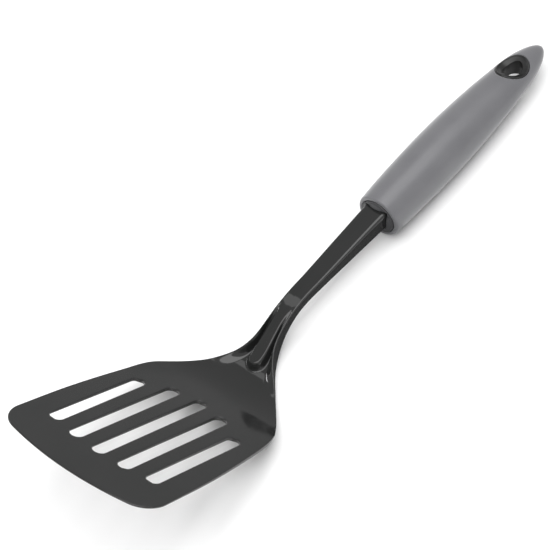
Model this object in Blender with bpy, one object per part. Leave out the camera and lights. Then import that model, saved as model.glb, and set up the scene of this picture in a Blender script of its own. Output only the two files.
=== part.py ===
"""Slotted kitchen turner with a soft-grip handle, lying on its heel and its grip.

The turner is drawn in the frame of its flat blade: the front edge at x = 0, the handle towards +x, the
blade's underside at z = 0. Its four pieces then hang from one empty, which tilts them into the rest pose:
blade raised in front, handle nearly level, origin under the middle of the whole object.
Design lengths are in millimetres and are turned into metres when a mesh is made.
"""

import math

import bmesh
import bpy
from mathutils import Matrix, Vector

MM = 0.001
GAP = 0.3  # clearance between touching pieces

# Blade, laid flat
BLADE_HALF_WIDTH = 44.7
FRONT_RADIUS = 153.0
CORNER_RADIUS = 13.3
FRONT_THICKNESS = 0.95
HEEL_THICKNESS = 2.2
HEEL_START = 100.0
SLOT_COUNT = 5
SLOT_PITCH = 14.5
SLOT_HALF_WIDTH = 3.45
SLOT_FRONT = 19.8  # middle slot's front end, behind the front edge
SLOT_REAR = 91.5
SLOT_FRONT_SETBACK = 3.15  # how much later the outer slots start
SLOT_REAR_SETBACK = 10.4  # how much sooner they end
DISH_LIFT = 0.8  # how far the rear corners curl up

# Side view of the underside: flat blade, heel bend, climb, neck bend, straight neck
HEEL_RADIUS = 39.7
CLIMB_ANGLE = math.radians(60.0)
CLIMB_LENGTH = 9.0
NECK_RADIUS = 35.0
NECK_ANGLE = math.radians(29.5)
NECK_LENGTH = 110.0
SIDE_RUNS = (
    (HEEL_START, 0.0, 0.0),
    (HEEL_RADIUS * CLIMB_ANGLE, 0.0, CLIMB_ANGLE),
    (CLIMB_LENGTH, CLIMB_ANGLE, CLIMB_ANGLE),
    (NECK_RADIUS * (CLIMB_ANGLE - NECK_ANGLE), CLIMB_ANGLE, NECK_ANGLE),
    (NECK_LENGTH, NECK_ANGLE, NECK_ANGLE),
)

# Outline of the plate: distance along it from the front edge, half-width
PLATE_OUTLINE = (
    (0, 44.7),
    (18, 44.6),
    (50, 43.6),
    (85, 40.1),
    (96, 37.7),
    (104, 32.9),
    (112, 26.4),
    (120, 19.3),
    (130, 11.1),
    (138, 7.0),
    (146, 5.0),
    (156, 4.2),
    (166, 4.0),
)
PLATE_END = 162.0
PLATE_RUNS = ((0.0, 24.0, 8.0), (36.0, 84.0, 12.0), (90.0, PLATE_END, 4.0))  # sections: from, to, step
COLUMN_STEP = 6.2
CORNER_STEP = 0.35  # radians
FRONT_FADE = 30.0  # distance over which the sections straighten behind the curved front edge
DISH_START = (107.0, 7.0)  # distance and y of a point on the line past which a rear corner curls up
DISH_ACROSS = (30.0, 25.0)  # direction across that line
DISH_REACH = 18.0
DISH_FULL = 40.0  # y at which the curl is full
# Rims that the blade's sides raise where it narrows into the neck: distance, height above the plate
RIM = (
    (112, 0.0),
    (119, 0.3),
    (127, 1.9),
    (133, 3.5),
    (140, 4.7),
    (147, 4.8),
    (154, 3.8),
    (163, 2.4),
)
RIM_FOOT = 0.62  # where a rim starts and where it is highest, as a share of the half-width
RIM_CREST = 0.9

# Rib, neck and tang: distance, bottom half-width, top half-width, bottom height, top height
SPINE = (
    (127.5, 2.2, 1.6, 1.0, 3.0),
    (130, 3.2, 2.6, 0.9, 5.2),
    (136, 3.8, 3.1, 0.8, 6.3),
    (148, 4.0, 3.3, 0.7, 6.6),
    (156, 4.0, 4.3, 0.3, 6.4),
    (163, 4.1, 4.9, 0.0, 6.1),
    (176, 4.0, 5.2, 0.0, 6.4),
    (206, 4.9, 5.9, 0.0, 8.7),
    (226, 5.4, 6.3, 0.0, 9.9),
    (236, 5.2, 5.6, 1.0, 8.8),
    (268, 4.7, 4.9, 1.7, 7.7),
)
TANG_START = 229.0
SOCKET_START = 219.0  # in front of the core
SPINE_STEP = 4.0
SPINE_TIP = (127.5, 128.5, 130.0, 132.5)
SPINE_CORNER = 1.3
SPINE_CORNER_SHARE = 0.35  # largest corner, as a share of the spine's height
SPINE_CORNER_LOW = 0.6  # size of the lower corners against the upper ones
SPINE_CORNER_MIDDLE = 0.3  # place of the point in the middle of an upper corner
SLOT_CUT = (-4.0, 7.0)

# Handle axis and grip
GRIP_ORIGIN = (200.2, 72.0)
GRIP_ANGLE = math.radians(31.6)
GRIP_MOUTH = -1.3
MOUTH_LEAN = 0.03  # how far the mouth sets back for each millimetre of height
GRIP_END = 132.3
# Distance along the axis, half-width, half-thickness
GRIP_SHAPE = (
    (-1.3, 11.7, 11.7),
    (11, 12.5, 12.4),
    (38, 13.4, 12.8),
    (61, 13.4, 12.0),
    (84, 12.4, 10.1),
    (101, 11.0, 8.0),
    (112, 9.7, 6.8),
    (118.5, 8.2, 5.7),
    (124.5, 5.9, 4.0),
    (129, 3.7, 2.5),
    (132.3, 0.8, 0.5),
)
GRIP_STEP = 8.5
GRIP_TAIL_STATIONS = (117.0, 121.0, 124.5, 127.5, 130.2)
LIP_RADIUS = 1.2
GRIP_WALL_MOUTH = 2.1
GRIP_WALL = 2.6
CORE_FRONT = -1.6
CORE_STEP = 0.2
CORE_REAR = 96.0
CORE_NOSE = ((6.2, -2.7), (8.6, -1.6))  # radius, place along the handle, of the raised front round the neck
MOUTH_CLEAR = -8.0  # safely in front of the mouth

# Hang hole and its liner
HOLE_CENTRE = 108.3
HOLE_HALF_LENGTH = 9.7
HOLE_HALF_WIDTH = 8.2
THROAT_HALF_LENGTH = 6.6
THROAT_HALF_WIDTH = 4.9
HOLE_REACH = 16.0  # well clear of the grip's skin
FUNNEL_REACH = 7.0  # height at which the funnel is fully open
FUNNEL_STATIONS = (-HOLE_REACH, -FUNNEL_REACH, -4.5, -2.0, 0.0, 2.0, 4.5, FUNNEL_REACH, HOLE_REACH)
LINER_TRIM_START = 90.0
LINER_PROUD = 0.3
RIM_WIDTH = 0.9

# Rest pose
BLADE_TILT = math.radians(32.39)

SIDES = 32
SHARP_ANGLE = math.radians(35.0)


def clear_scene():
    for item in list(bpy.data.objects):
        bpy.data.objects.remove(item, do_unlink=True)


def make_collection(name):
    collection = bpy.data.collections.new(name)
    bpy.context.scene.collection.children.link(collection)
    return collection


def make_material(name, colour, roughness):
    material = bpy.data.materials.new(name)
    material.use_nodes = True
    shader = material.node_tree.nodes["Principled BSDF"]
    shader.inputs["Base Color"].default_value = (*colour, 1.0)
    shader.inputs["Roughness"].default_value = roughness
    shader.inputs["Metallic"].default_value = 0.0
    material.diffuse_color = (*colour, 1.0)
    return material


def smooth_row(table, position):
    """Row of a table at a position, on a smooth curve through its rows (cubic Hermite)."""
    rows = [tuple(float(value) for value in row) for row in table]
    position = min(max(position, rows[0][0]), rows[-1][0])
    index = 0
    while index < len(rows) - 2 and position > rows[index + 1][0]:
        index += 1
    before = rows[max(index - 1, 0)]
    start = rows[index]
    end = rows[index + 1]
    after = rows[min(index + 2, len(rows) - 1)]
    span = end[0] - start[0]
    t = (position - start[0]) / span
    result = []
    for k in range(1, len(start)):
        slope_start = (end[k] - before[k]) / (end[0] - before[0]) * span
        slope_end = (after[k] - start[k]) / (after[0] - start[0]) * span
        value = (2 * t**3 - 3 * t**2 + 1) * start[k] + (3 * t**2 - 2 * t**3) * end[k]
        value += (t**3 - 2 * t**2 + t) * slope_start + (t**3 - t**2) * slope_end
        result.append(value)
    return result


def smooth_step(value):
    value = min(max(value, 0.0), 1.0)
    return value * value * (3.0 - 2.0 * value)


def spread(start, end, step):
    """Evenly spaced numbers from start to end, no further apart than step."""
    count = max(1, math.ceil((end - start) / step - 1e-9))
    return [start + (end - start) * i / count for i in range(count + 1)]


def underside(distance):
    """Point (x, z) and slope of the underside at a distance along it from the front edge."""
    x = 0.0
    z = 0.0
    turn = 0.0
    left = distance
    for length, start, end in SIDE_RUNS:
        step = min(left, length)
        turn = start + (end - start) * step / length
        if start == end:
            x += step * math.cos(start)
            z += step * math.sin(start)
        else:
            radius = length / (end - start)
            x += radius * (math.sin(turn) - math.sin(start))
            z += radius * (math.cos(start) - math.cos(turn))
        left -= step
        if left <= 0.0:
            break
    return x, z, turn


def head_point(distance, y, height):
    """A point at a height above the bent underside."""
    x, z, turn = underside(distance)
    return x - height * math.sin(turn), y, z + height * math.cos(turn)


def grip_point(along, y, height):
    """A point in the handle's own frame: along its axis, sideways, and above the axis."""
    x, z = GRIP_ORIGIN
    cosine = math.cos(GRIP_ANGLE)
    sine = math.sin(GRIP_ANGLE)
    return x + along * cosine - height * sine, y, z + along * sine + height * cosine


def add_object(name, mesh, collection, material=None):
    item = bpy.data.objects.new(name, mesh)
    collection.objects.link(item)
    if material:
        mesh.materials.append(material)
    return item


def loft_mesh(name, rings):
    """A closed solid through rings of equally many points, capped at both ends."""
    mesh = bpy.data.meshes.new(name)
    shell = bmesh.new()
    loops = [[shell.verts.new(Vector(point) * MM) for point in ring] for ring in rings]
    count = len(loops[0])
    for first, second in zip(loops, loops[1:]):
        for i in range(count):
            shell.faces.new((first[i], first[(i + 1) % count], second[(i + 1) % count], second[i]))
    shell.faces.new(loops[0])
    shell.faces.new(loops[-1])
    bmesh.ops.recalc_face_normals(shell, faces=shell.faces)
    shell.to_mesh(mesh)
    shell.free()
    mesh.shade_smooth()
    mesh.set_sharp_from_angle(angle=SHARP_ANGLE)
    return mesh


def combine(item, tool, operation):
    """Cut or join with a tool object by an exact Boolean."""
    tool.display_type = "WIRE"
    tool.hide_render = True
    modifier = item.modifiers.new(f"{operation.lower()}_{tool.name}", "BOOLEAN")
    modifier.operation = operation
    modifier.solver = "EXACT"
    modifier.object = tool


def half_columns():
    """Sideways places of the plate's columns and how far each starts behind the front edge."""
    centre_y = BLADE_HALF_WIDTH - CORNER_RADIUS
    reach = FRONT_RADIUS - CORNER_RADIUS
    centre_back = FRONT_RADIUS - math.sqrt(reach**2 - centre_y**2)
    start_angle = math.asin(centre_y / reach)
    columns = []
    for y in spread(0.0, FRONT_RADIUS * math.sin(start_angle), COLUMN_STEP):
        columns.append((y, FRONT_RADIUS - math.sqrt(FRONT_RADIUS**2 - y**2)))
    for angle in spread(start_angle, math.pi / 2, CORNER_STEP)[1:]:
        y = centre_y + CORNER_RADIUS * math.sin(angle)
        columns.append((y, centre_back - CORNER_RADIUS * math.cos(angle)))
    return columns


def plate_thickness(distance):
    grow = min(distance / HEEL_START, 1.0)
    return FRONT_THICKNESS + (HEEL_THICKNESS - FRONT_THICKNESS) * grow


def corner_lift(distance, y):
    """How far the plate curls up near its rear corners, past a slanting line on each side."""
    across = DISH_ACROSS[0] * (distance - DISH_START[0]) + DISH_ACROSS[1] * (abs(y) - DISH_START[1])
    past = across / math.hypot(*DISH_ACROSS)
    return DISH_LIFT * smooth_step(past / DISH_REACH) * abs(y) / DISH_FULL


def rim_height(distance, y_flat):
    share = abs(y_flat) / BLADE_HALF_WIDTH
    return smooth_row(RIM, distance)[0] * smooth_step((share - RIM_FOOT) / (RIM_CREST - RIM_FOOT))


def plate_ring(station):
    """Section across the plate: top row from one side to the other, then the underside back."""
    fade = max(0.0, 1.0 - station / FRONT_FADE)
    half = half_columns()
    columns = [(-y, back) for y, back in reversed(half[1:])] + half
    top = []
    bottom = []
    for y_flat, back in columns:
        distance = station + back * fade
        half_width = smooth_row(PLATE_OUTLINE, distance)[0]
        y = half_width * y_flat / BLADE_HALF_WIDTH
        lift = corner_lift(distance, y)
        rim = rim_height(distance, y_flat)
        top.append(head_point(distance, y, lift + plate_thickness(distance) + rim))
        bottom.append(head_point(distance, y, lift))
    return top + bottom[::-1]


def plate_mesh():
    return loft_mesh("plate", [plate_ring(station) for run in PLATE_RUNS for station in spread(*run)])


def spine_ring(distance, grow=0.0):
    """Rounded trapezium across the rib, the neck or the tang."""
    low_half, top_half, low, top = smooth_row(SPINE, distance)
    low_half += grow
    top_half += grow
    low -= grow
    top += grow
    cut = min(SPINE_CORNER, (top - low) * SPINE_CORNER_SHARE)
    near = cut * SPINE_CORNER_MIDDLE
    small = cut * SPINE_CORNER_LOW
    right = [
        (low_half - small, low),
        (low_half, low + small),
        (top_half, top - cut),
        (top_half - near, top - near),
        (top_half - cut, top),
    ]
    left = [(-y, height) for y, height in reversed(right)]
    return [head_point(distance, y, height) for y, height in right + left]


def spine_mesh():
    stations = list(SPINE_TIP) + spread(SPINE[2][0], SPINE[-1][0], SPINE_STEP)
    return loft_mesh("spine", [spine_ring(station) for station in stations])


def slot_outline(index):
    """Outline of one slot: straight sides and round ends."""
    place = index - (SLOT_COUNT - 1) / 2
    share = (place / (SLOT_COUNT // 2)) ** 2
    front = SLOT_FRONT + SLOT_FRONT_SETBACK * share + SLOT_HALF_WIDTH
    rear = SLOT_REAR - SLOT_REAR_SETBACK * share - SLOT_HALF_WIDTH
    points = []
    for centre, start in ((rear, -math.pi / 2), (front, math.pi / 2)):
        for angle in spread(start, start + math.pi, math.pi / 8):
            x = centre + SLOT_HALF_WIDTH * math.cos(angle)
            y = SLOT_PITCH * place + SLOT_HALF_WIDTH * math.sin(angle)
            points.append((x, y))
    return points


def build_head(parts, tools, material):
    """Blade, neck and tang, moulded in one: plate, spine joined on, slots cut through."""
    head = add_object("turner_head", plate_mesh(), parts, material)
    combine(head, add_object("spine", spine_mesh(), tools), "UNION")
    for index in range(SLOT_COUNT):
        outline = slot_outline(index)
        rings = [[(x, y, z) for x, y in outline] for z in SLOT_CUT]
        name = f"slot_{index + 1}"
        combine(head, add_object(name, loft_mesh(name, rings), tools), "DIFFERENCE")
    return head


def oval_ring(along, half_width, half_thickness, lean=0.0):
    """Oval section across the handle's axis, square to it unless it leans back."""
    ring = []
    for i in range(SIDES):
        angle = 2 * math.pi * i / SIDES
        height = half_thickness * math.sin(angle)
        ring.append(grip_point(along + lean * height, half_width * math.cos(angle), height))
    return ring


def grip_stations(start, end):
    """Places of the sections along the handle, closer where it rounds off at the rear."""
    even = spread(GRIP_SHAPE[1][0], GRIP_SHAPE[6][0], GRIP_STEP)
    places = even + list(GRIP_TAIL_STATIONS)
    return [start] + [place for place in places if start < place < end] + [end]


def grip_rings(start, end, inset):
    rings = []
    for along in grip_stations(start, end):
        half_width, half_thickness = smooth_row(GRIP_SHAPE, along)
        rings.append(oval_ring(along, half_width - inset, half_thickness - inset))
    return rings


def mouth_lip_rings():
    """The rounded front edge of the grip."""
    half_width, half_thickness = smooth_row(GRIP_SHAPE, GRIP_MOUTH)
    rings = []
    for angle in spread(0.0, math.pi / 2, math.pi / 6)[:-1]:
        inset = LIP_RADIUS * (1.0 - math.sin(angle))
        along = GRIP_MOUTH + LIP_RADIUS * (1.0 - math.cos(angle))
        rings.append(oval_ring(along, half_width - inset, half_thickness - inset, MOUTH_LEAN))
    return rings


def hole_rings(half_length, half_width):
    """Straight oval column through the handle at the hang hole."""
    rings = []
    for height in (-HOLE_REACH, HOLE_REACH):
        ring = []
        for i in range(SIDES):
            angle = 2 * math.pi * (i + 0.5) / SIDES
            along = HOLE_CENTRE + half_length * math.cos(angle)
            ring.append(grip_point(along, half_width * math.sin(angle), height))
        rings.append(ring)
    return rings


def inside_rings(front, rear, gap, lean):
    """The room inside the grip, or with a gap the core that fills it."""
    half_width, half_thickness = smooth_row(GRIP_SHAPE, GRIP_MOUTH)
    inset = GRIP_WALL_MOUTH + gap
    rings = [oval_ring(front, half_width - inset, half_thickness - inset, lean)]
    return rings + grip_rings(GRIP_SHAPE[1][0], rear - gap, GRIP_WALL + gap)


def build_grip(parts, tools, material):
    """Soft sleeve: outer skin, less the room for the core and the hang hole."""
    rings = mouth_lip_rings() + grip_rings(GRIP_SHAPE[1][0], GRIP_END, 0.0)
    grip = add_object("soft_grip", loft_mesh("soft_grip", rings), parts, material)
    room = loft_mesh("grip_room", inside_rings(MOUTH_CLEAR, CORE_REAR + GAP, 0.0, 0.0))
    combine(grip, add_object("grip_room", room, tools), "DIFFERENCE")
    hole = hole_rings(HOLE_HALF_LENGTH, HOLE_HALF_WIDTH)
    combine(grip, add_object("hang_hole", loft_mesh("hang_hole", hole), tools), "DIFFERENCE")
    return grip


def build_core(parts, tools, material):
    """Hard core inside the grip, with a low cone round the neck and a fitted socket for the tang."""
    rings = [oval_ring(along, radius, radius, MOUTH_LEAN) for radius, along in CORE_NOSE]
    rings += inside_rings(CORE_FRONT + CORE_STEP, CORE_REAR + GAP, GAP, MOUTH_LEAN)
    core = add_object("handle_core", loft_mesh("handle_core", rings), parts, material)
    socket_stations = spread(SOCKET_START, SPINE[-1][0], 8.0) + [SPINE[-1][0] + GAP]
    socket = [spine_ring(min(station, SPINE[-1][0]), GAP) for station in socket_stations[:-1]]
    x, z, turn = underside(socket_stations[-1])
    last = underside(SPINE[-1][0])
    shift = Vector((x - last[0], 0.0, z - last[1]))
    socket.append([Vector(point) + shift for point in socket[-1]])
    combine(core, add_object("tang_socket", loft_mesh("tang_socket", socket), tools), "DIFFERENCE")
    return core


def funnel_rings():
    """Hourglass opening of the liner, narrowest at the handle's axis."""
    rings = []
    for height in FUNNEL_STATIONS:
        open_share = smooth_step(abs(height) / FUNNEL_REACH)
        wide = HOLE_HALF_LENGTH - GAP - RIM_WIDTH
        narrow = HOLE_HALF_WIDTH - GAP - RIM_WIDTH
        half_length = THROAT_HALF_LENGTH + (wide - THROAT_HALF_LENGTH) * open_share
        half_width = THROAT_HALF_WIDTH + (narrow - THROAT_HALF_WIDTH) * open_share
        ring = []
        for i in range(SIDES):
            angle = 2 * math.pi * (i + 0.25) / SIDES
            along = HOLE_CENTRE + half_length * math.cos(angle)
            ring.append(grip_point(along, half_width * math.sin(angle), height))
        rings.append(ring)
    return rings


def build_liner(parts, tools, material):
    """Liner of the hang hole: an oval column trimmed to the grip's surface, with a funnel through."""
    column = hole_rings(HOLE_HALF_LENGTH - GAP, HOLE_HALF_WIDTH - GAP)
    liner = add_object("hang_eyelet", loft_mesh("hang_eyelet", column), parts, material)
    skin = grip_rings(LINER_TRIM_START, GRIP_END, -LINER_PROUD)
    combine(liner, add_object("liner_trim", loft_mesh("liner_trim", skin), tools), "INTERSECT")
    funnel = add_object("liner_funnel", loft_mesh("liner_funnel", funnel_rings()), tools)
    combine(liner, funnel, "DIFFERENCE")
    return liner


def rest_on_table(parts, tools):
    """Tilt everything about y and set it on z = 0 with the origin under the middle."""
    frame = bpy.data.objects.new("rest_frame", None)
    bpy.context.scene.collection.objects.link(frame)
    for item in list(parts.objects) + list(tools.objects):
        item.parent = frame
    frame.matrix_world = Matrix.Rotation(BLADE_TILT, 4, "Y")
    bpy.context.view_layer.update()
    graph = bpy.context.evaluated_depsgraph_get()
    points = []
    for item in parts.objects:
        solid = item.evaluated_get(graph)
        points += [solid.matrix_world @ vertex.co for vertex in solid.data.vertices]
    low = [min(point[axis] for point in points) for axis in range(3)]
    high = [max(point[axis] for point in points) for axis in range(3)]
    shift = Vector((-(low[0] + high[0]) / 2, -(low[1] + high[1]) / 2, -low[2]))
    frame.matrix_world = Matrix.Translation(shift) @ Matrix.Rotation(BLADE_TILT, 4, "Y")
    bpy.context.view_layer.update()


def main():
    clear_scene()
    parts = make_collection("slotted_turner")
    tools = make_collection("cutters")
    tools.hide_render = True
    build_head(parts, tools, make_material("black_nylon", (0.035, 0.036, 0.036), 0.35))
    build_core(parts, tools, make_material("black_core", (0.02, 0.02, 0.02), 0.5))
    build_grip(parts, tools, make_material("grey_soft_grip", (0.2, 0.2, 0.21), 0.6))
    build_liner(parts, tools, make_material("black_liner", (0.02, 0.02, 0.02), 0.45))
    rest_on_table(parts, tools)


main()
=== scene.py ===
"""Fine visual model of the slotted kitchen turner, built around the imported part.

Like the part, the turner is drawn in the frame of its flat blade, in millimetres: the front edge at x = 0,
the handle towards +x, the blade's underside at z = 0. One matrix then sets it into the rest pose.
"""

import math

import bmesh
import bpy
from mathutils import Matrix, Vector
from mathutils.geometry import delaunay_2d_cdt


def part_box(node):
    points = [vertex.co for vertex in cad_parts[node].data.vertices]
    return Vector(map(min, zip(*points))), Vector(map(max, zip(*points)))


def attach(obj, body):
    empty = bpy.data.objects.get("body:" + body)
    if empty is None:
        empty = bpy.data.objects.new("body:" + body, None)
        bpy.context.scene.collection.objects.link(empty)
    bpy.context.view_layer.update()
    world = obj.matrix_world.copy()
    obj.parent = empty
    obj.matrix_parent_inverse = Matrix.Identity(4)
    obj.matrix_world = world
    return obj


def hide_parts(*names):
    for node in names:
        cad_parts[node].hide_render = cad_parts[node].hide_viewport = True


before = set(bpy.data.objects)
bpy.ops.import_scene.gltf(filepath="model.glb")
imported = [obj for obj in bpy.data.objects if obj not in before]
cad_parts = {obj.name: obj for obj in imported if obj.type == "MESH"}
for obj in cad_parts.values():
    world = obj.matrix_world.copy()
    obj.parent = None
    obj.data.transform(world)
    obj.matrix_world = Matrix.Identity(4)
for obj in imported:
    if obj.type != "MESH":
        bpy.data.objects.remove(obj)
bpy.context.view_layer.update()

MM = 0.001
GAP = 0.3  # clearance between touching pieces

# Blade, laid flat
FRONT_RADIUS = 153.0
CORNER_RADIUS = 13.3
CORNER_BACK = 17.0  # distance of the centres of the front corners' roundings
FRONT_THICKNESS = 0.95
HEEL_THICKNESS = 2.2
HEEL_START = 100.0
SLOT_COUNT = 5
SLOT_PITCH = 14.5
SLOT_HALF_WIDTH = 3.45
SLOT_FRONT = 19.8
SLOT_REAR = 91.5
SLOT_FRONT_SETBACK = 3.15
SLOT_REAR_SETBACK = 10.4
SLOT_LIP = 0.45
DISH_LIFT = 0.8
DISH_START = (107.0, 7.0)  # distance and y of a point on the line past which a rear corner curls up
DISH_ACROSS = (30.0, 25.0)  # direction across that line
DISH_REACH = 18.0
DISH_FULL = 40.0  # y at which the curl is full
EDGE_RADIUS = 0.42
EDGE_MARGIN = 0.35  # flat strip kept beside every rounded edge
FRONT_STEP = 2.0
CORNER_STEP = 1.2
SIDE_EDGE_STEP = 1.5
SLOT_STEP = 3.0
SLOT_ARC_STEP = math.pi / 14
MESH_STEP = 2.6
MESH_MARGIN = 2.0  # how far the mesh's inner points stay from the front and the rear
MESH_CLEAR = 1.0  # and from the flat strips beside the edges
MESH_HALF_WIDTH = 45.0
POINT_MERGE = 1e-5
KEEP_INSIDE = 1  # triangulation output: only what lies inside the outline

# Side view of the underside: length of each stretch, slope at its start and at its end
SIDE_RUNS = (
    (HEEL_START, 0.0, 0.0),
    (41.57, 0.0, 60.0),
    (9.0, 60.0, 60.0),
    (18.63, 60.0, 29.5),
    (110.0, 29.5, 29.5),
)
SIDE_STEP = 0.5
SIDE_SOFTENING = 4.0

# Distance along the head, half-width of its underside
OUTLINE = (
    (0, 44.7),
    (18, 44.6),
    (50, 43.6),
    (85, 40.1),
    (96, 37.7),
    (104, 32.9),
    (112, 26.4),
    (120, 19.3),
    (130, 11.1),
    (138, 7.0),
    (146, 5.0),
    (156, 4.2),
    (166, 4.0),
    (176, 4.1),
    (206, 4.9),
    (226, 5.4),
    (236, 5.2),
    (268, 4.7),
)
PLATE_REAR = 97.0
NECK_REAR = 266.0
NECK_RUNS = ((PLATE_REAR, 124.0, 1.5), (124.0, 165.0, 0.75), (165.0, NECK_REAR, 2.5))  # from, to, step
BOTTOM_EDGE_RADIUS = 0.7
# Distance, how much wider the top is than the underside, height of the side edge, its rounding
WALLS = (
    (97, 0.0, 2.2, 0.42),
    (112, 0.0, 2.2, 0.42),
    (119, 0.1, 2.5, 0.45),
    (127, 0.3, 4.1, 0.55),
    (133, 0.4, 5.7, 0.6),
    (140, 0.55, 6.9, 0.65),
    (147, 0.7, 7.0, 0.65),
    (155, 0.8, 6.5, 0.7),
    (163, 1.0, 6.1, 1.1),
    (176, 1.2, 6.4, 1.4),
    (206, 1.1, 8.7, 1.8),
    (226, 1.0, 9.9, 2.0),
    (236, 0.4, 8.8, 1.2),
    (268, 0.2, 7.7, 1.2),
)
# Distance, where the inner slope of a raised rim starts, as a share of the way to its crest
RIM_FOOT = ((97, 0.6), (140, 0.62), (147, 0.82), (157, 0.86), (268, 0.86))
# Raised rib between the rims: distance, half-width, height
RIB = (
    (127, 3.2, 6.0),
    (136, 3.4, 6.4),
    (148, 3.1, 6.5),
    (154, 3.1, 6.5),
    (159, 4.6, 6.3),
    (163, 9.0, 6.1),
    (176, 9.0, 6.4),
    (206, 9.0, 8.7),
    (226, 9.0, 9.9),
    (236, 9.0, 8.8),
    (268, 9.0, 7.7),
)
# Floor of the valleys between rib and rims: distance, height
VALLEY_FLOOR = (
    (97, 2.2),
    (126, 2.2),
    (133, 2.5),
    (140, 3.4),
    (148, 4.8),
    (157, 6.0),
    (163, 6.1),
    (268, 6.1),
)
RIB_NOSE = 131.4
RIB_NOSE_STRETCH = 1.3
RIB_SHOULDER = 0.6
RIB_SLOPE = 3.2
RIB_ROUNDING = 1.4
RIB_CROWN = 0.1
RIB_CROWN_START = 134.0
RIB_CROWN_FADE = 10.0
VALLEY_FILLET = 1.0
SMALLEST_FILLET = 0.02
TOP_COLUMNS = 60

# Handle axis and grip
GRIP_ORIGIN = (200.2, 72.0)
GRIP_ANGLE = math.radians(31.6)
GRIP_MOUTH = -1.3
MOUTH_LEAN = 0.03
LEAN_END = 11.0
GRIP_END = 132.3
# Distance along the axis, half-width, half-thickness
GRIP_SHAPE = (
    (-1.3, 11.7, 11.7),
    (11, 12.5, 12.4),
    (38, 13.4, 12.8),
    (61, 13.4, 12.0),
    (84, 12.4, 10.1),
    (101, 11.0, 8.0),
    (112, 9.7, 6.8),
    (118.5, 8.4, 5.8),
    (124.5, 6.5, 4.3),
    (129, 4.4, 2.9),
)
TAIL_START = 124.5
TAIL_RINGS = 14
TAIL_TIP = 0.02  # length left off at the very tip
GRIP_STEP = 1.5
INNER_STEP = 3.0
LIP_RADIUS = 1.2
LIP_INNER_RADIUS = 0.7
GRIP_WALL_MOUTH = 2.1
GRIP_WALL = 2.6
CORE_FRONT = -1.6
CORE_REAR = 96.0
CORE_SKIN_START = 4.0
CORE_STEP = 4.0
CORE_RIM_RADIUS = 0.3
# Cone on the core's front that the neck comes out of: radius, place along the handle
CORE_CONE = ((8.8, -1.58), (8.6, -1.5), (8.3, -1.55), (7.1, -2.35), (6.6, -2.6), (6.1, -2.7))
SOCKET_START = 218.0
SOCKET_STEP = 5.0
SOCKET_DEEPER = 1.2  # how much longer the socket is than the tang

# Hang hole and its liner
HOLE_CENTRE = 108.3
HOLE_HALF_LENGTH = 9.7
HOLE_HALF_WIDTH = 8.2
FUNNEL_DEPTH = 0.2  # share of the half-thickness over which each mouth of the liner narrows
THROAT_HALF_LENGTH = 6.3
THROAT_HALF_WIDTH = 4.3
HOLE_REACH = 16.0  # well clear of the grip's skin
LINER_PROUD = 0.3
LINER_SEAT = 0.02
LINER_ROWS = 16
LINER_OUTER_SHARES = (-0.7, -0.35, 0.01, 0.35, 0.7)
RIM_WIDTH = 0.9

SIDES = 96
SHARP_ANGLE = math.radians(40.0)
WELD = 2e-6  # metres
BLADE_TILT = math.radians(32.39)

# Finishes: the darkest and lightest tint, the range of roughness
NYLON_TINTS = ((0.012, 0.0125, 0.0122), (0.016, 0.016, 0.016))
NYLON_ROUGHNESS = (0.06, 0.09)
NYLON_IOR = 1.53
GRIP_TINTS = ((0.117, 0.117, 0.125), (0.137, 0.137, 0.145))
GRIP_ROUGHNESS = (0.30, 0.40)
GRIP_SHEEN = 0.35
GRIP_SHEEN_ROUGHNESS = 0.4
CORE_COLOUR = (0.065, 0.065, 0.068)
LINER_COLOUR = (0.008, 0.008, 0.008)
DARKER = 0.85  # how much darker the darkest tint of the core and the liner is
HARD_ROUGHNESS = (0.3, 0.42)

# Camera and surroundings
CAMERA_TARGET = Vector((-0.0214, 0.0150, 0.0200))
CAMERA_DISTANCE = 0.9353
CAMERA_AZIMUTH = math.radians(-38.437)
CAMERA_ELEVATION = math.radians(50.601)
CAMERA_ROLL = math.radians(-14.739)
CAMERA_LENS = 130.9
CAMERA_NEAR = 0.01
# Dark card beside the neck, seen only in reflections: painted shade on the floor there, which the neck's
# side wall mirrors
NECK_SHADE_CARD = (
    (-0.085, -0.028),
    (-0.06, -0.006),
    (-0.045, 0.004),
    (0.045, 0.004),
    (0.045, -0.05),
    (-0.07, -0.055),
)
NECK_SHADE_CARD_HEIGHT = 0.0006
NECK_SHADE_CARD_COLOUR = (0.12, 0.12, 0.12, 1.0)
FLOOR_HALF_SIZE = 4.0
FLOOR_HEIGHT = -0.0001
FLOOR_COLOUR = (0.9, 0.9, 0.9, 1.0)
FLOOR_ROUGHNESS = 0.9
WORLD_STRENGTH = 0.5
GLOW_STRENGTH = 0.8
GLOW_DIRECTION = (0.0, -0.75, 0.66)
GLOW_COSINES = (0.2, 0.8)  # where the glow starts and where it is full
# Area lights: name, place, aim, size, power, whether reflections show it
LIGHTS = (
    ("overhead_light", (0.0, -0.12, 0.9), (0.0, -0.12, 0.0), (1.5, 0.75), 8.8, True),
    ("key_light", (-0.5, 0.6, 0.6), (0.0, 0.0, 0.0), (0.45, 0.45), 2.6, False),
    ("glint_light", (-0.07, 0.9, 0.45), (-0.02, 0.0, 0.02), (0.12, 0.12), 0.6, True),
    ("facet_light", (0.155, 0.525, 0.9), (-0.05, 0.0, 0.01), (0.15, 0.25), 0.13, True),
)


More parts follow.
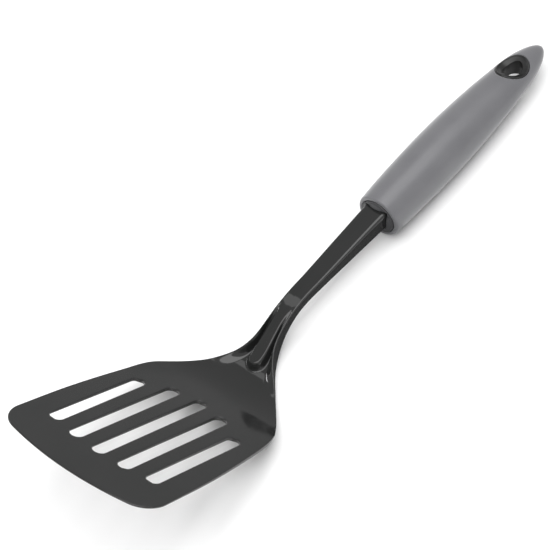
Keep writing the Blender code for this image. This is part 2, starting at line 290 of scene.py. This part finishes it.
def smooth_row(table, position):
    """Row of a table at a position, on a smooth curve through its rows (cubic Hermite)."""
    position = min(max(float(position), table[0][0]), table[-1][0])
    index = 0
    while index < len(table) - 2 and position > table[index + 1][0]:
        index += 1
    before = table[max(index - 1, 0)]
    start = table[index]
    end = table[index + 1]
    after = table[min(index + 2, len(table) - 1)]
    span = end[0] - start[0]
    t = (position - start[0]) / span
    result = []
    for k in range(1, len(start)):
        slope_start = (end[k] - before[k]) / (end[0] - before[0]) * span
        slope_end = (after[k] - start[k]) / (after[0] - start[0]) * span
        value = (2 * t**3 - 3 * t**2 + 1) * start[k] + (3 * t**2 - 2 * t**3) * end[k]
        value += (t**3 - 2 * t**2 + t) * slope_start + (t**3 - t**2) * slope_end
        result.append(value)
    return result


def smooth_step(value):
    value = min(max(value, 0.0), 1.0)
    return value * value * (3.0 - 2.0 * value)


def smooth_max(a, b, fillet):
    return max(a, b) + max(fillet - abs(a - b), 0.0) ** 2 / (4.0 * fillet)


def spread(start, end, step):
    """Evenly spaced numbers from start to end, no further apart than step."""
    count = max(1, math.ceil((end - start) / step - 1e-9))
    return [start + (end - start) * i / count for i in range(count + 1)]


def side_slope(distance):
    """Slope of the underside, in radians, before its bends are softened."""
    left = distance
    for length, start, end in SIDE_RUNS:
        if left <= length:
            break
        left -= length
    return math.radians(start + (end - start) * min(max(left / length, 0.0), 1.0))


def trace_side():
    """Points (x, z, slope) along the underside, with the curvature of each bend eased in."""
    total = sum(run[0] for run in SIDE_RUNS)
    offsets = spread(-SIDE_SOFTENING, SIDE_SOFTENING, 1.0)
    rows = []
    x = 0.0
    z = 0.0
    for i in range(int(total / SIDE_STEP) + 1):
        distance = i * SIDE_STEP
        slope = sum(side_slope(distance + offset) for offset in offsets) / len(offsets)
        rows.append((x, z, slope))
        x += SIDE_STEP * math.cos(slope)
        z += SIDE_STEP * math.sin(slope)
    return rows


SIDE = trace_side()


def head_point(distance, y, height):
    """A point at a height above the bent underside."""
    index = min(int(distance / SIDE_STEP), len(SIDE) - 2)
    share = distance / SIDE_STEP - index
    x, z, slope = (a + (b - a) * share for a, b in zip(SIDE[index], SIDE[index + 1]))
    return x - height * math.sin(slope), y, z + height * math.cos(slope)


def grip_point(along, y, height):
    """A point in the handle's own frame: along its axis, sideways, and above the axis."""
    x, z = GRIP_ORIGIN
    cosine = math.cos(GRIP_ANGLE)
    sine = math.sin(GRIP_ANGLE)
    return x + along * cosine - height * sine, y, z + along * sine + height * cosine


def thickness(distance):
    grow = min(max(distance, 0.0) / HEEL_START, 1.0)
    return FRONT_THICKNESS + (HEEL_THICKNESS - FRONT_THICKNESS) * grow


def corner_lift(distance, y):
    """How far the plate curls up near its rear corners, past a slanting line on each side."""
    across = DISH_ACROSS[0] * (distance - DISH_START[0]) + DISH_ACROSS[1] * (abs(y) - DISH_START[1])
    past = across / math.hypot(*DISH_ACROSS)
    return DISH_LIFT * smooth_step(past / DISH_REACH) * abs(y) / DISH_FULL


def half_width(distance):
    return smooth_row(OUTLINE, distance)[0]


def outline_stretch(distance):
    """How much wider an edge's rounding is across the blade where its outline slants."""
    slope = half_width(distance + 0.5) - half_width(distance - 0.5)
    return math.sqrt(1.0 + slope * slope)


# ---------------------------------------------------------------- flat blade


def arc_points(centre, radius, start, end, step):
    """Plan points (distance, y) with their outward normals along an arc."""
    count = max(1, math.ceil(abs(end - start) * radius / step))
    points = []
    for i in range(count + 1):
        angle = start + (end - start) * i / count
        normal = (-math.cos(angle), math.sin(angle))
        points.append((centre[0] + radius * normal[0], centre[1] + radius * normal[1], *normal))
    return points


def blade_edge():
    """Edge of the flat blade from its right rear round the front to its left rear, with normals."""
    corner_y = half_width(CORNER_BACK) - CORNER_RADIUS
    turn = math.asin(corner_y / (FRONT_RADIUS - CORNER_RADIUS))
    corner_x = FRONT_RADIUS - (FRONT_RADIUS - CORNER_RADIUS) * math.cos(turn)
    left = arc_points((FRONT_RADIUS, 0.0), FRONT_RADIUS, 0.0, turn, FRONT_STEP)
    left += arc_points((corner_x, corner_y), CORNER_RADIUS, turn, math.pi / 2, CORNER_STEP)[1:]
    for distance in spread(corner_x, PLATE_REAR, SIDE_EDGE_STEP)[1:]:
        left.append((distance, half_width(distance), 0.0, outline_stretch(distance)))
    right = [(x, -y, nx, -ny) for x, y, nx, ny in reversed(left[1:])]
    return right + left


def slot_ends(place):
    """Distances of the centres of a slot's two round ends; place is 0 for the middle slot."""
    share = (place / (SLOT_COUNT // 2)) ** 2
    front = SLOT_FRONT + SLOT_FRONT_SETBACK * share + SLOT_HALF_WIDTH
    rear = SLOT_REAR - SLOT_REAR_SETBACK * share - SLOT_HALF_WIDTH
    return front, rear


def slot_edge(index):
    """Edge of one slot, anticlockwise in plan, with normals that point into the slot."""
    place = index - (SLOT_COUNT - 1) / 2
    front, rear = slot_ends(place)
    y = SLOT_PITCH * place
    points = []
    for centre, start in ((rear, -math.pi / 2), (front, math.pi / 2)):
        for angle in spread(start, start + math.pi, SLOT_ARC_STEP):
            nx = math.cos(angle)
            ny = math.sin(angle)
            points.append((centre + SLOT_HALF_WIDTH * nx, y + SLOT_HALF_WIDTH * ny, -nx, -ny))
    straight = spread(front, rear, SLOT_STEP)[1:-1]
    bottom = [(x, y - SLOT_HALF_WIDTH, 0.0, 1.0) for x in straight]
    top = [(x, y + SLOT_HALF_WIDTH, 0.0, -1.0) for x in reversed(straight)]
    half = len(points) // 2
    return points[:half] + top + points[half:] + bottom


def edge_profile(height, top_radius, bottom_radius, turns=4, wall_steps=3):
    """Rounded edge from the top face to the bottom face: distance in from the edge, height."""
    angles = [math.pi / 2 * i / turns for i in range(turns + 1)]
    rows = [(top_radius * (1 - math.sin(a)), height - top_radius * (1 - math.cos(a))) for a in angles]
    for i in range(1, wall_steps):
        share = i / wall_steps
        rows.append((0.0, (height - top_radius) * (1 - share) + bottom_radius * share))
    angles.reverse()
    rows += [(bottom_radius * (1 - math.sin(a)), bottom_radius * (1 - math.cos(a))) for a in angles]
    return rows


def join_loops(shell, pairs, closed):
    """Quads between pairs of equally long loops of vertices."""
    for first, second in pairs:
        for i in range(len(first) if closed else len(first) - 1):
            j = (i + 1) % len(first)
            shell.faces.new((first[i], first[j], second[j], second[i]))


def plate_vertex(shell, distance, y, height):
    lift = corner_lift(distance, y)
    return shell.verts.new(Vector(head_point(distance, y, height + lift)) * MM)


def add_edge(shell, edge, closed, radius):
    """Rounded wall along an edge of the flat blade, with a flat strip beside it on both faces."""
    loops = []
    count = len(edge_profile(1.0, radius, radius)) + 2
    for k in range(count):
        loop = []
        for x, y, nx, ny in edge:
            rows = edge_profile(thickness(x), radius, radius)
            rows = [(radius + EDGE_MARGIN, thickness(x))] + rows + [(radius + EDGE_MARGIN, 0.0)]
            inset, height = rows[k]
            loop.append(plate_vertex(shell, x - nx * inset, y - ny * inset, height))
        loops.append(loop)
    join_loops(shell, zip(loops, loops[1:]), closed)


def inset_edge(edge, inset):
    return [(x - nx * inset, y - ny * inset) for x, y, nx, ny in edge]


def in_slot(x, y, margin):
    place = round(y / SLOT_PITCH)
    place = min(max(place, -(SLOT_COUNT // 2)), SLOT_COUNT // 2)
    front, rear = slot_ends(place)
    off = math.hypot(x - min(max(x, front), rear), y - SLOT_PITCH * place)
    return off < SLOT_HALF_WIDTH + margin


def on_blade(x, y, margin):
    """Whether a plan point is on the flat blade's face, clear of its edges by a margin."""
    if in_slot(x, y, margin) or x > PLATE_REAR - margin:
        return False
    if abs(y) > half_width(x) - margin or math.hypot(FRONT_RADIUS - x, y) > FRONT_RADIUS - margin:
        return False
    corner_y = half_width(CORNER_BACK) - CORNER_RADIUS
    if abs(y) > corner_y and x < CORNER_BACK:
        return math.hypot(x - CORNER_BACK, abs(y) - corner_y) < CORNER_RADIUS - margin
    return True


def face_plan(edge, slots):
    """Plan points of the blade's faces, and the pairs of them that bound the faces and the slots."""
    inset = EDGE_RADIUS + EDGE_MARGIN
    plan = inset_edge(edge, inset)
    plan += [(PLATE_REAR, y) for y in reversed(top_places(PLATE_REAR)[1:-1])]
    limits = [(i, i + 1) for i in range(len(plan) - 1)] + [(len(plan) - 1, 0)]
    for slot in slots:
        first = len(plan)
        plan += inset_edge(slot, SLOT_LIP + EDGE_MARGIN)
        limits += [(i, i + 1) for i in range(first, len(plan) - 1)] + [(len(plan) - 1, first)]
    for i, x in enumerate(spread(MESH_MARGIN, PLATE_REAR - MESH_MARGIN, MESH_STEP)):
        for y in spread(-MESH_HALF_WIDTH, MESH_HALF_WIDTH, MESH_STEP):
            point = (x, y + MESH_STEP / 2 * (i % 2))
            if on_blade(*point, inset + MESH_CLEAR):
                plan.append(point)
    return plan, limits


def add_faces_between_edges(shell, edge, slots):
    """Both flat faces of the blade, triangulated round the slots."""
    plan, limits = face_plan(edge, slots)
    plan = [Vector(point) for point in plan]
    points, _, triangles, *_ = delaunay_2d_cdt(plan, limits, [], KEEP_INSIDE, POINT_MERGE)
    top = [plate_vertex(shell, p.x, p.y, thickness(p.x)) for p in points]
    bottom = [plate_vertex(shell, p.x, p.y, 0.0) for p in points]
    for triangle in triangles:
        x = sum(points[i].x for i in triangle) / 3
        y = sum(points[i].y for i in triangle) / 3
        if not in_slot(x, y, 0.0):
            shell.faces.new([top[i] for i in triangle])
            shell.faces.new([bottom[i] for i in reversed(triangle)])
    for vertex in top + bottom:
        if not vertex.link_faces:
            shell.verts.remove(vertex)


# ---------------------------------------------------------------- heel, rib and neck


def top_places(distance):
    """Sideways places of the columns on top, between the flat strips beside the edges."""
    flare, _, radius = smooth_row(WALLS, distance)
    half = half_width(distance) + flare - (radius + EDGE_MARGIN) * outline_stretch(distance)
    return [half * (2 * i / TOP_COLUMNS - 1) for i in range(TOP_COLUMNS + 1)]


def rib_height(distance, y):
    """Height of the rib's rounded back, which falls off steeply past its half-width."""
    wide, high = smooth_row(RIB, distance)
    before_nose = max(RIB_NOSE - distance, 0.0) / RIB_NOSE_STRETCH
    past = max(math.hypot(before_nose, y) - wide + RIB_SHOULDER, 0.0)
    crown = RIB_CROWN * smooth_step((distance - RIB_CROWN_START) / RIB_CROWN_FADE)
    high -= crown * wide * (y / wide) ** 4
    return high - RIB_SLOPE * (math.hypot(past, RIB_ROUNDING) - RIB_ROUNDING)


def top_height(distance, y):
    """Height of the upper face: plate, raised rims, and the rib between them."""
    flare, edge, radius = smooth_row(WALLS, distance)
    crest = half_width(distance) + flare - radius * outline_stretch(distance)
    base = smooth_row(VALLEY_FLOOR, distance)[0] if distance > HEEL_START else thickness(distance)
    foot = smooth_row(RIM_FOOT, distance)[0]
    climb = (abs(y) / crest - foot) / (1.0 - foot)
    rim = base + (edge - base) * smooth_step(climb)
    rib = max(rib_height(distance, y), 0.0)
    fillet = min(VALLEY_FILLET, SMALLEST_FILLET + min(abs(edge - rib), crest - min(abs(y), crest)))
    return min(smooth_max(rim, rib, fillet), max(edge, rib))


def head_section(distance):
    """Closed section across the head: heights over the sideways places, edges rounded."""
    flare, edge, radius = smooth_row(WALLS, distance)
    bottom_half = half_width(distance)
    stretch = outline_stretch(distance)
    places = top_places(distance)
    rounding = edge_profile(edge, radius, min(radius, BOTTOM_EDGE_RADIUS))
    top = [(y, top_height(distance, y)) for y in places]
    right = []
    for inset, height in rounding:
        half = bottom_half + flare * height / edge
        right.append((half - inset * stretch, height))
    margin = bottom_half - (rounding[-1][0] + EDGE_MARGIN) * stretch
    bottom = [(margin * (1 - 2 * i / TOP_COLUMNS), 0.0) for i in range(TOP_COLUMNS + 1)]
    left = [(-y, height) for y, height in reversed(right)]
    return top + right + bottom + left


def add_neck(shell):
    """Heel, rib, neck and tang, as one loft that starts at the flat blade's rear."""
    loops = []
    for distance in [PLATE_REAR] + [place for run in NECK_RUNS for place in spread(*run)[1:]]:
        section = head_section(distance)
        loops.append([plate_vertex(shell, distance, y, height) for y, height in section])
    join_loops(shell, zip(loops, loops[1:]), True)
    shell.faces.new(loops[-1])


def finish_mesh(name, shell):
    """Merge shared points, turn all faces outwards, and shade smooth."""
    bmesh.ops.remove_doubles(shell, verts=shell.verts, dist=WELD)
    bmesh.ops.recalc_face_normals(shell, faces=shell.faces)
    mesh = bpy.data.meshes.new(name)
    shell.to_mesh(mesh)
    shell.free()
    mesh.shade_smooth()
    mesh.set_sharp_from_angle(angle=SHARP_ANGLE)
    return mesh


def add_piece(name, mesh, node, material):
    """Put a finished mesh into the rest pose, in place of its CAD node."""
    mesh.transform(rest_matrix())
    mesh.materials.append(material)
    piece = bpy.data.objects.new(name, mesh)
    bpy.context.scene.collection.objects.link(piece)
    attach(piece, "root")
    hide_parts(node)
    return piece


def rest_matrix():
    """From the blade's frame to the rest pose: tilted, with the front edge where the CAD head has it."""
    low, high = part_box("turner_head")
    tilt = Matrix.Rotation(BLADE_TILT, 4, "Y")
    drop = FRONT_THICKNESS * MM * math.cos(BLADE_TILT)
    return Matrix.Translation((low.x, 0.0, high.z - drop)) @ tilt


def build_head(material):
    shell = bmesh.new()
    edge = blade_edge()
    slots = [slot_edge(index) for index in range(SLOT_COUNT)]
    add_edge(shell, edge, False, EDGE_RADIUS)
    for slot in slots:
        add_edge(shell, slot, True, SLOT_LIP)
    add_faces_between_edges(shell, edge, slots)
    add_neck(shell)
    mesh = finish_mesh("blade_and_neck", shell)
    piece = add_piece("blade_and_neck", mesh, "turner_head", material)
    weigh = piece.modifiers.new("weigh_normals", "WEIGHTED_NORMAL")
    weigh.keep_sharp = True
    return piece


# ---------------------------------------------------------------- grip


def grip_size(along):
    """Half-width and half-thickness of the grip, rounded off at the tail."""
    if along <= TAIL_START:
        return smooth_row(GRIP_SHAPE, along)
    share = math.sqrt(max(GRIP_END - along, 0.0) / (GRIP_END - TAIL_START))
    return [size * share for size in smooth_row(GRIP_SHAPE, TAIL_START)]


def oval_ring(along, wide, thick, lean=0.0):
    """Oval section across the handle's axis, square to it unless it leans back."""
    ring = []
    for i in range(SIDES):
        angle = 2 * math.pi * i / SIDES
        height = thick * math.sin(angle)
        ring.append(grip_point(along + lean * height, wide * math.cos(angle), height))
    return ring


def skin_ring(along, inset):
    """Ring at a depth under the grip's outer skin, leaning near the mouth as the mouth does."""
    lean = MOUTH_LEAN * (1.0 - smooth_step((along - GRIP_MOUTH) / (LEAN_END - GRIP_MOUTH)))
    wide, thick = grip_size(along)
    return oval_ring(along, wide - inset, thick - inset, lean)


def loft(name, rings, loop=False):
    """Solid through rings of equally many points; capped at both ends unless it closes on itself."""
    shell = bmesh.new()
    loops = [[shell.verts.new(Vector(point) * MM) for point in ring] for ring in rings]
    join_loops(shell, zip(loops, loops[1:]), True)
    if loop:
        join_loops(shell, [(loops[-1], loops[0])], True)
    else:
        shell.faces.new(loops[0])
        shell.faces.new(loops[-1])
    return finish_mesh(name, shell)


def mouth_rings(front, outer_inset, outer_radius, inner_inset, inner_radius):
    """Rounded front of a sleeve, from its outer skin over the front face to its inner wall."""
    rings = []
    for angle in spread(0.0, math.pi / 2, math.pi / 16):
        along = front + outer_radius * (1.0 - math.cos(angle))
        rings.append((along, outer_inset + outer_radius * (1.0 - math.sin(angle))))
    rings.reverse()
    for angle in spread(0.0, math.pi / 2, math.pi / 8):
        along = front + inner_radius * (1.0 - math.cos(angle))
        rings.append((along, inner_inset - inner_radius * (1.0 - math.sin(angle))))
    return rings


def room_inset(along):
    """Depth of the grip's inner wall under its skin."""
    share = smooth_step((along - GRIP_MOUTH) / (LEAN_END - GRIP_MOUTH))
    return GRIP_WALL_MOUTH + (GRIP_WALL - GRIP_WALL_MOUTH) * share


def tail_places():
    """Places of the rings on the tail, closer towards its tip."""
    length = GRIP_END - TAIL_START
    return [GRIP_END - length * (1 - i / TAIL_RINGS) ** 2 for i in range(1, TAIL_RINGS)]


def build_grip(material):
    """Soft sleeve: outer skin, rounded mouth and inner wall in one loft, less the hang hole."""
    outer = spread(GRIP_MOUTH + LIP_RADIUS, TAIL_START, GRIP_STEP)
    rings = [skin_ring(GRIP_END - TAIL_TIP, 0.0)]
    rings += [skin_ring(along, 0.0) for along in reversed(tail_places())]
    rings += [skin_ring(along, 0.0) for along in reversed(outer[1:])]
    lip = mouth_rings(GRIP_MOUTH, 0.0, LIP_RADIUS, GRIP_WALL_MOUTH, LIP_INNER_RADIUS)
    rings += [skin_ring(along, inset) for along, inset in lip]
    inner = spread(GRIP_MOUTH + LIP_INNER_RADIUS, CORE_REAR + GAP, INNER_STEP)[1:]
    rings += [skin_ring(along, room_inset(along)) for along in inner]
    mesh = loft("grip_sleeve", rings)
    piece = add_piece("grip_sleeve", mesh, "soft_grip", material)
    cut_away(piece, column("hole_cutter", HOLE_HALF_LENGTH, HOLE_HALF_WIDTH))
    return piece


def column(name, half_length, wide):
    """Oval column through the handle at the hang hole, as a cutter in the rest pose."""
    rings = []
    for height in (-HOLE_REACH, HOLE_REACH):
        ring = []
        for i in range(SIDES):
            angle = 2 * math.pi * (i + 0.5) / SIDES
            along = HOLE_CENTRE + half_length * math.cos(angle)
            ring.append(grip_point(along, wide * math.sin(angle), height))
        rings.append(ring)
    return cutter(name, rings)


def cutter(name, rings):
    mesh = loft(name, rings)
    mesh.transform(rest_matrix())
    tool = bpy.data.objects.new(name, mesh)
    bpy.context.scene.collection.objects.link(tool)
    return tool


def cut_away(piece, tool):
    """Subtract a cutter for good, and remove it."""
    modifier = piece.modifiers.new("cut", "BOOLEAN")
    modifier.operation = "DIFFERENCE"
    modifier.solver = "EXACT"
    modifier.object = tool
    bpy.context.view_layer.update()
    graph = bpy.context.evaluated_depsgraph_get()
    mesh = bpy.data.meshes.new_from_object(piece.evaluated_get(graph))
    piece.modifiers.remove(modifier)
    piece.data = mesh
    bpy.data.objects.remove(tool, do_unlink=True)


def build_core(material):
    """Hard core inside the grip, whose front rim shows in the mouth."""
    inset = GRIP_WALL_MOUTH + GAP
    places = spread(CORE_SKIN_START, CORE_REAR, CORE_STEP)
    rings = [skin_ring(along, room_inset(along) + GAP) for along in reversed(places)]
    for angle in spread(0.0, math.pi / 2, math.pi / 16):
        along = CORE_FRONT + CORE_RIM_RADIUS * (1.0 - math.sin(angle))
        rings.append(skin_ring(along, inset + CORE_RIM_RADIUS * (1.0 - math.cos(angle))))
    rings += [oval_ring(along, radius, radius, MOUTH_LEAN) for radius, along in CORE_CONE]
    mesh = loft("handle_core_rim", rings)
    piece = add_piece("handle_core_rim", mesh, "handle_core", material)
    cut_away(piece, neck_socket())
    return piece


def neck_socket():
    """Cutter for the socket that the neck's tang sits in, a clearance wider all round."""
    rings = []
    for distance in spread(SOCKET_START, NECK_REAR + SOCKET_DEEPER, SOCKET_STEP):
        flare, edge, _ = smooth_row(WALLS, distance)
        bottom = half_width(distance) + GAP
        top = bottom + flare
        corners = ((top, edge + GAP), (-top, edge + GAP), (-bottom, -GAP), (bottom, -GAP))
        rings.append([head_point(distance, y, height) for y, height in corners])
    return cutter("socket_cutter", rings)


def liner_ring(reach, height_share, rise):
    """One ring round the hang hole: reach in from its edge, on the skin or between the two skins."""
    ring = []
    for i in range(SIDES):
        angle = 2 * math.pi * i / SIDES
        along = HOLE_CENTRE + (HOLE_HALF_LENGTH - GAP - reach[0]) * math.cos(angle)
        y = (HOLE_HALF_WIDTH - GAP - reach[1]) * math.sin(angle)
        edge_along = HOLE_CENTRE + (HOLE_HALF_LENGTH - GAP) * math.cos(angle)
        edge_y = (HOLE_HALF_WIDTH - GAP) * math.sin(angle)
        wide, thick = grip_size(edge_along)
        skin = thick * math.sqrt(max(1.0 - (edge_y / wide) ** 2, 0.0))
        height = height_share * skin + math.copysign(rise, height_share)
        ring.append(grip_point(along, y, height))
    return ring


def build_liner(material):
    """Liner of the hang hole: rounded rims that stand a little proud, joined by an hourglass throat."""
    deep = (HOLE_HALF_LENGTH - GAP - THROAT_HALF_LENGTH, HOLE_HALF_WIDTH - GAP - THROAT_HALF_WIDTH)
    half = []
    for angle in spread(0.0, math.pi, math.pi / 10):
        inset = RIM_WIDTH / 2 * (1.0 - math.cos(angle))
        half.append(((inset, inset), 1.0, LINER_PROUD * math.sin(angle) - LINER_SEAT))
    for i in range(1, LINER_ROWS):
        share = i / LINER_ROWS
        blend = smooth_step(share / FUNNEL_DEPTH)
        reach = tuple(RIM_WIDTH + (limit - RIM_WIDTH) * blend for limit in deep)
        half.append((reach, 1.0 - share, 0.0))
    rows = [(reach, share, rise) for reach, share, rise in half]
    rows.append((deep, 0.0, 0.0))
    rows += [(reach, -share, rise) for reach, share, rise in reversed(half)]
    rings = [liner_ring(*row) for row in rows]
    rings += [liner_ring((0.0, 0.0), share, 0.0) for share in LINER_OUTER_SHARES]
    mesh = loft("hang_hole_liner", rings, loop=True)
    return add_piece("hang_hole_liner", mesh, "hang_eyelet", material)


# ---------------------------------------------------------------- materials


def new_material(name):
    material = bpy.data.materials.new(name)
    material.use_nodes = True
    tree = material.node_tree
    return material, tree, tree.nodes["Principled BSDF"]


def noise(tree, scale, detail, roughness=0.5):
    """Noise in the object's own space; scale is in features per metre."""
    place = tree.nodes.new("ShaderNodeTexCoord")
    node = tree.nodes.new("ShaderNodeTexNoise")
    node.inputs["Scale"].default_value = scale
    node.inputs["Detail"].default_value = detail
    node.inputs["Roughness"].default_value = roughness
    tree.links.new(place.outputs["Object"], node.inputs["Vector"])
    return node


def ramp(tree, source, low, high, start=0.3, end=0.7):
    """Map a value, such as a noise output, to a range."""
    node = tree.nodes.new("ShaderNodeMapRange")
    node.inputs["From Min"].default_value = start
    node.inputs["From Max"].default_value = end
    node.inputs["To Min"].default_value = low
    node.inputs["To Max"].default_value = high
    tree.links.new(source, node.inputs["Value"])
    return node.outputs["Result"]


def tint(tree, source, dark, light):
    node = tree.nodes.new("ShaderNodeMix")
    node.data_type = "RGBA"
    node.inputs["A"].default_value = (*dark, 1.0)
    node.inputs["B"].default_value = (*light, 1.0)
    tree.links.new(source, node.inputs["Factor"])
    return node.outputs["Result"]


def bump(tree, source, distance, strength, before=None):
    node = tree.nodes.new("ShaderNodeBump")
    node.inputs["Distance"].default_value = distance
    node.inputs["Strength"].default_value = strength
    tree.links.new(source, node.inputs["Height"])
    if before:
        tree.links.new(before, node.inputs["Normal"])
    return node.outputs["Normal"]


def clouded(tree, shader, cloud, tints, roughness):
    """Let a soft noise vary the tint and the roughness."""
    share = ramp(tree, cloud.outputs["Fac"], 0.0, 1.0)
    tree.links.new(tint(tree, share, *tints), shader.inputs["Base Color"])
    tree.links.new(ramp(tree, cloud.outputs["Fac"], *roughness), shader.inputs["Roughness"])


def nylon_material():
    material, tree, shader = new_material("black_nylon_fine")
    clouded(tree, shader, noise(tree, scale=28.0, detail=4.0), NYLON_TINTS, NYLON_ROUGHNESS)
    grain = noise(tree, scale=3000.0, detail=2.0, roughness=0.6)
    grained = bump(tree, grain.outputs["Fac"], distance=0.000006, strength=0.2)
    tree.links.new(grained, shader.inputs["Normal"])
    shader.inputs["IOR"].default_value = NYLON_IOR
    return material


def grip_material():
    material, tree, shader = new_material("grey_elastomer")
    clouded(tree, shader, noise(tree, scale=40.0, detail=4.0), GRIP_TINTS, GRIP_ROUGHNESS)
    wave = noise(tree, scale=22.0, detail=1.0)
    waved = bump(tree, wave.outputs["Fac"], distance=0.0025, strength=0.5)
    grain = noise(tree, scale=2600.0, detail=2.0)
    grained = bump(tree, grain.outputs["Fac"], distance=0.00003, strength=0.3, before=waved)
    tree.links.new(grained, shader.inputs["Normal"])
    shader.inputs["Sheen Weight"].default_value = GRIP_SHEEN
    shader.inputs["Sheen Roughness"].default_value = GRIP_SHEEN_ROUGHNESS
    return material


def hard_material(name, colour):
    """Smooth hard plastic of the core and the liner."""
    material, tree, shader = new_material(name)
    dark = tuple(channel * DARKER for channel in colour)
    clouded(tree, shader, noise(tree, scale=120.0, detail=3.0), (dark, colour), HARD_ROUGHNESS)
    return material


# ---------------------------------------------------------------- surroundings


def build_floor():
    mesh = bpy.data.meshes.new("floor")
    shell = bmesh.new()
    half = FLOOR_HALF_SIZE
    corners = ((-half, -half), (half, -half), (half, half), (-half, half))
    shell.faces.new([shell.verts.new((x, y, FLOOR_HEIGHT)) for x, y in corners])
    shell.to_mesh(mesh)
    shell.free()
    floor = bpy.data.objects.new("floor", mesh)
    bpy.context.scene.collection.objects.link(floor)
    material, _, shader = new_material("floor_white")
    shader.inputs["Base Color"].default_value = FLOOR_COLOUR
    shader.inputs["Roughness"].default_value = FLOOR_ROUGHNESS
    mesh.materials.append(material)


def add_area(name, place, target, size, power, in_reflections):
    light = bpy.data.lights.new(name, "AREA")
    light.shape = "RECTANGLE"
    light.size, light.size_y = size
    light.energy = power
    item = bpy.data.objects.new(name, light)
    bpy.context.scene.collection.objects.link(item)
    item.location = place
    item.rotation_euler = (Vector(target) - Vector(place)).to_track_quat("-Z", "Y").to_euler()
    item.visible_glossy = in_reflections


def camera_place():
    flat = math.cos(CAMERA_ELEVATION)
    back = Vector((
        math.sin(CAMERA_AZIMUTH) * flat,
        -math.cos(CAMERA_AZIMUTH) * flat,
        math.sin(CAMERA_ELEVATION),
    ))
    return CAMERA_TARGET + back * CAMERA_DISTANCE, back


def build_neck_shade_card():
    """Dark card lying beside the neck, seen only in reflections: painted shade on the floor there, which
    the neck's side wall mirrors.
    """
    shell = bmesh.new()
    ring = [shell.verts.new((x, y, NECK_SHADE_CARD_HEIGHT)) for x, y in NECK_SHADE_CARD]
    edges = [shell.edges.new((ring[i - 1], ring[i])) for i in range(len(ring))]
    bmesh.ops.triangle_fill(shell, use_beauty=True, edges=edges)
    mesh = bpy.data.meshes.new("painted_neck_shade")
    shell.to_mesh(mesh)
    shell.free()
    shade_card = bpy.data.objects.new("painted_neck_shade", mesh)
    bpy.context.scene.collection.objects.link(shade_card)
    material, _, shader = new_material("painted_neck_shade")
    # painted shade: the card's dark colour stands in for the floor's shadow beside the neck
    shader.inputs["Base Color"].default_value = NECK_SHADE_CARD_COLOUR
    shader.inputs["Roughness"].default_value = 1.0
    mesh.materials.append(material)
    shade_card.visible_camera = False
    shade_card.visible_diffuse = False
    shade_card.visible_shadow = False
    shade_card.visible_transmission = False


def world_glow(tree):
    """Strength of the sky: more round one direction, fading between two cosines."""
    place = tree.nodes.new("ShaderNodeTexCoord")
    along = tree.nodes.new("ShaderNodeVectorMath")
    along.operation = "DOT_PRODUCT"
    along.inputs[1].default_value = Vector(GLOW_DIRECTION).normalized()
    tree.links.new(place.outputs["Generated"], along.inputs[0])
    return ramp(tree, along.outputs["Value"], WORLD_STRENGTH, GLOW_STRENGTH, *GLOW_COSINES)


def build_world():
    world = bpy.data.worlds.new("studio")
    world.use_nodes = True
    bpy.context.scene.world = world
    back = world.node_tree.nodes["Background"]
    back.inputs["Color"].default_value = (1.0, 1.0, 1.0, 1.0)
    world.node_tree.links.new(world_glow(world.node_tree), back.inputs["Strength"])


def build_camera():
    data = bpy.data.cameras.new("camera")
    data.lens = CAMERA_LENS
    data.clip_start = CAMERA_NEAR
    camera = bpy.data.objects.new("camera", data)
    bpy.context.scene.collection.objects.link(camera)
    eye, back = camera_place()
    turn = back.to_track_quat("Z", "Y").to_matrix().to_4x4()
    camera.matrix_world = Matrix.Translation(eye) @ turn @ Matrix.Rotation(CAMERA_ROLL, 4, "Z")
    bpy.context.scene.camera = camera


build_head(nylon_material())
build_core(hard_material("black_core_fine", CORE_COLOUR))
build_grip(grip_material())
build_liner(hard_material("black_liner_fine", LINER_COLOUR))
build_floor()
build_world()
build_neck_shade_card()
for light in LIGHTS:
    add_area(*light)
build_camera()
bpy.context.scene.view_settings.view_transform = "Standard"
